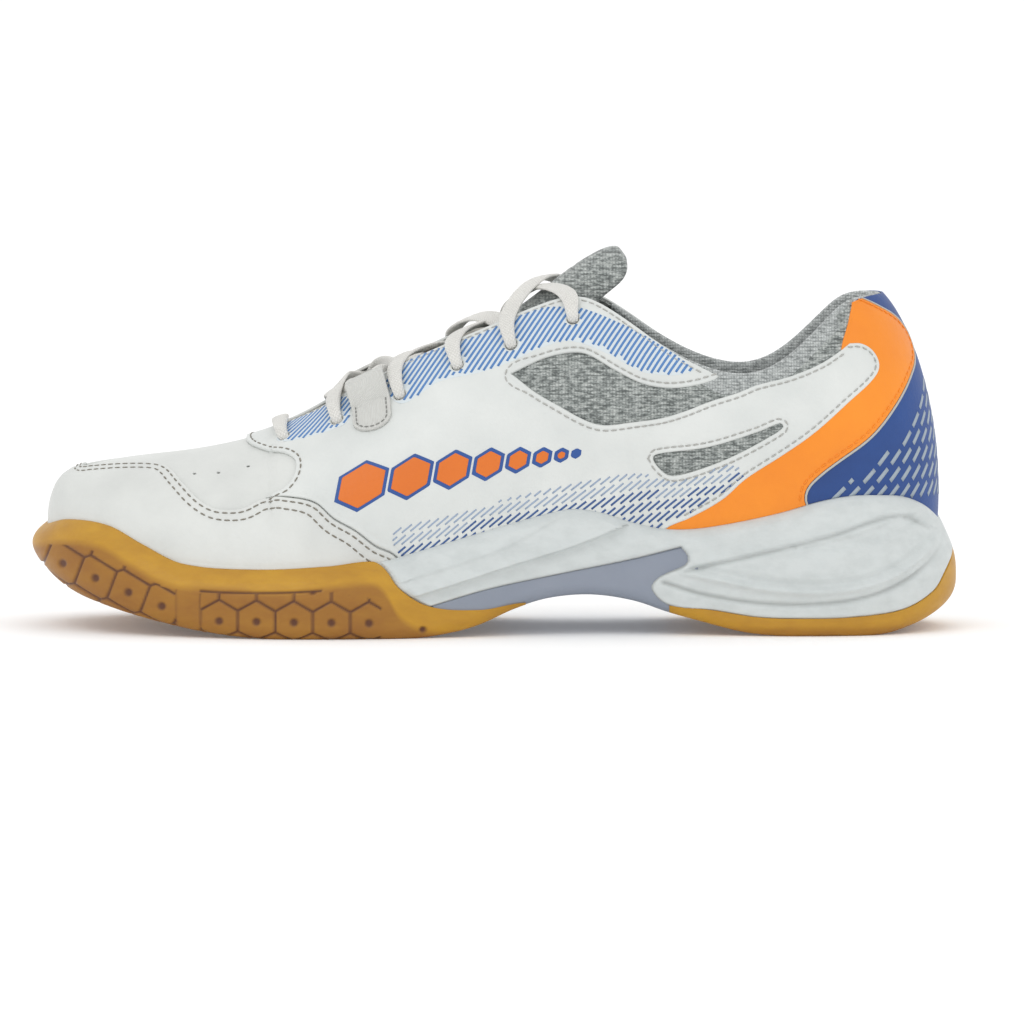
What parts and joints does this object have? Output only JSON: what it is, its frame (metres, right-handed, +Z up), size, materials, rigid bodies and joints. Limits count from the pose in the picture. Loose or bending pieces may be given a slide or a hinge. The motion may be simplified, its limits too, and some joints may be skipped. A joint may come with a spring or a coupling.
{
  "type": "court shoe",
  "caption": "Low-cut lace-up indoor court shoe, left foot, with a gum rubber cup sole, shank plate, layered upper, padded collar and folding tongue.",
  "frame": {"origin": "middle of the shoe's bounding box in plan, on the floor that the outsole stands on", "axes": "+X towards the heel (the toe points along -X), -Y is the outer (lateral) side of this left shoe, +Z up"},
  "size_m": [0.2911, 0.1062, 0.12],
  "materials": {
    "gum_rubber": "satin gum rubber",
    "shank_plastic": "fine matt",
    "midsole_foam": "skinned foam, matt",
    "board_fabric": "felted",
    "insole_foam": "open foam",
    "insole_fabric": "knitted",
    "white_leather": "smooth synthetic leather",
    "stiffener_sheet": "pressed sheet",
    "lining_fabric": "knitted",
    "padding_foam": "open foam",
    "blue_leather": "smooth synthetic leather",
    "orange_leather": "smooth synthetic leather",
    "grey_mesh": "knitted mesh",
    "lace_braid": "flat braid",
    "white_webbing": "woven tape",
    "aglet_plastic": "clear film"
  },
  "bodies": {
    "root": {"outsole_forefoot": "gum_rubber", "outsole_heel": "gum_rubber", "shank_plate": "shank_plastic", "midsole": "midsole_foam", "lasting_board": "board_fabric", "insole_foam": "insole_foam", "insole_cover": "insole_fabric", "vamp": "white_leather", "toe_cap": "white_leather", "toe_puff": "stiffener_sheet", "vamp_lining": "lining_fabric", "heel_counter": "stiffener_sheet", "collar_padding": "padding_foam", "heel_cap": "blue_leather", "lace": "lace_braid", "tongue_mesh": "grey_mesh", "tongue_foam": "padding_foam", "tongue_lining": "lining_fabric", "quarter_lateral": "white_leather", "mesh_base_lateral": "grey_mesh", "quarter_lining_lateral": "lining_fabric", "eyestay_tape_lateral": "stiffener_sheet", "heel_band_lateral": "orange_leather", "lace_loop_lateral": "white_webbing", "aglet_lateral": "aglet_plastic", "quarter_medial": "white_leather", "mesh_base_medial": "grey_mesh", "quarter_lining_medial": "lining_fabric", "eyestay_tape_medial": "stiffener_sheet", "heel_band_medial": "orange_leather", "lace_loop_medial": "white_webbing", "aglet_medial": "aglet_plastic"},
    "tongue_flap": {"tongue_flap_mesh": "grey_mesh", "tongue_flap_foam": "padding_foam", "tongue_flap_lining": "lining_fabric"}
  },
  "joints": [
    {"name": "tongue_fold", "type": "hinge", "parent": "root", "child": "tongue_flap", "pos_m": [0.0189, 0, 0.1084], "axis": [0, -1, 0], "range_deg": [0, 45]}
  ]
}
